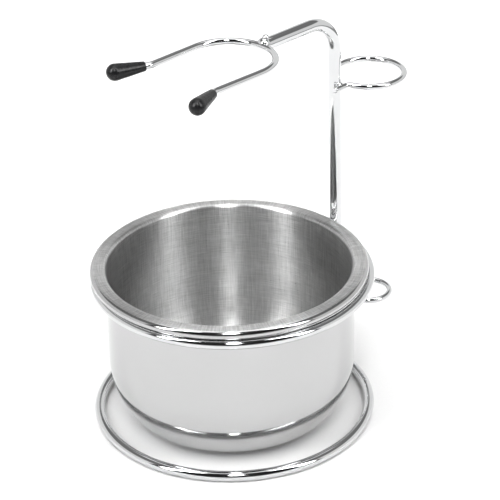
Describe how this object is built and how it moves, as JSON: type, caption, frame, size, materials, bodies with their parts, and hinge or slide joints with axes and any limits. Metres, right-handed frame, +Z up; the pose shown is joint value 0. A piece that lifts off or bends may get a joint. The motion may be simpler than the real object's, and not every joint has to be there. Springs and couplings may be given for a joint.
{
  "type": "shaving stand",
  "caption": "Chromed wire shaving stand with a loose stainless steel lather bowl, a brush fork with black tips and rings for a razor.",
  "frame": {"origin": "centre of the base ring, on the table top", "axes": "+Z up, +X from the bowl's axis to the post, brush fork reaches towards -X"},
  "size_m": [0.1365, 0.1032, 0.1417],
  "materials": {
    "chrome_wire": "bright chrome plate, mirror polished",
    "stainless_steel": "polished outside, brushed inside and on the lip",
    "tip_rubber": "satin moulded"
  },
  "bodies": {
    "stand": {"base_ring": "chrome_wire", "bowl_ring": "chrome_wire", "post": "chrome_wire", "brush_fork": "chrome_wire", "fork_tip_left": "tip_rubber", "fork_tip_right": "tip_rubber", "razor_ring": "chrome_wire", "guide_ring": "chrome_wire", "base_weld": "chrome_wire", "bowl_ring_weld": "chrome_wire", "fork_weld": "chrome_wire", "razor_ring_weld": "chrome_wire", "guide_ring_weld": "chrome_wire"},
    "bowl": {"bowl": "stainless_steel"}
  },
  "joints": [
    {"name": "bowl_lift", "type": "slide", "parent": "stand", "child": "bowl", "axis": [0, 0, 1], "range_m": [0, 0.065]}
  ]
}
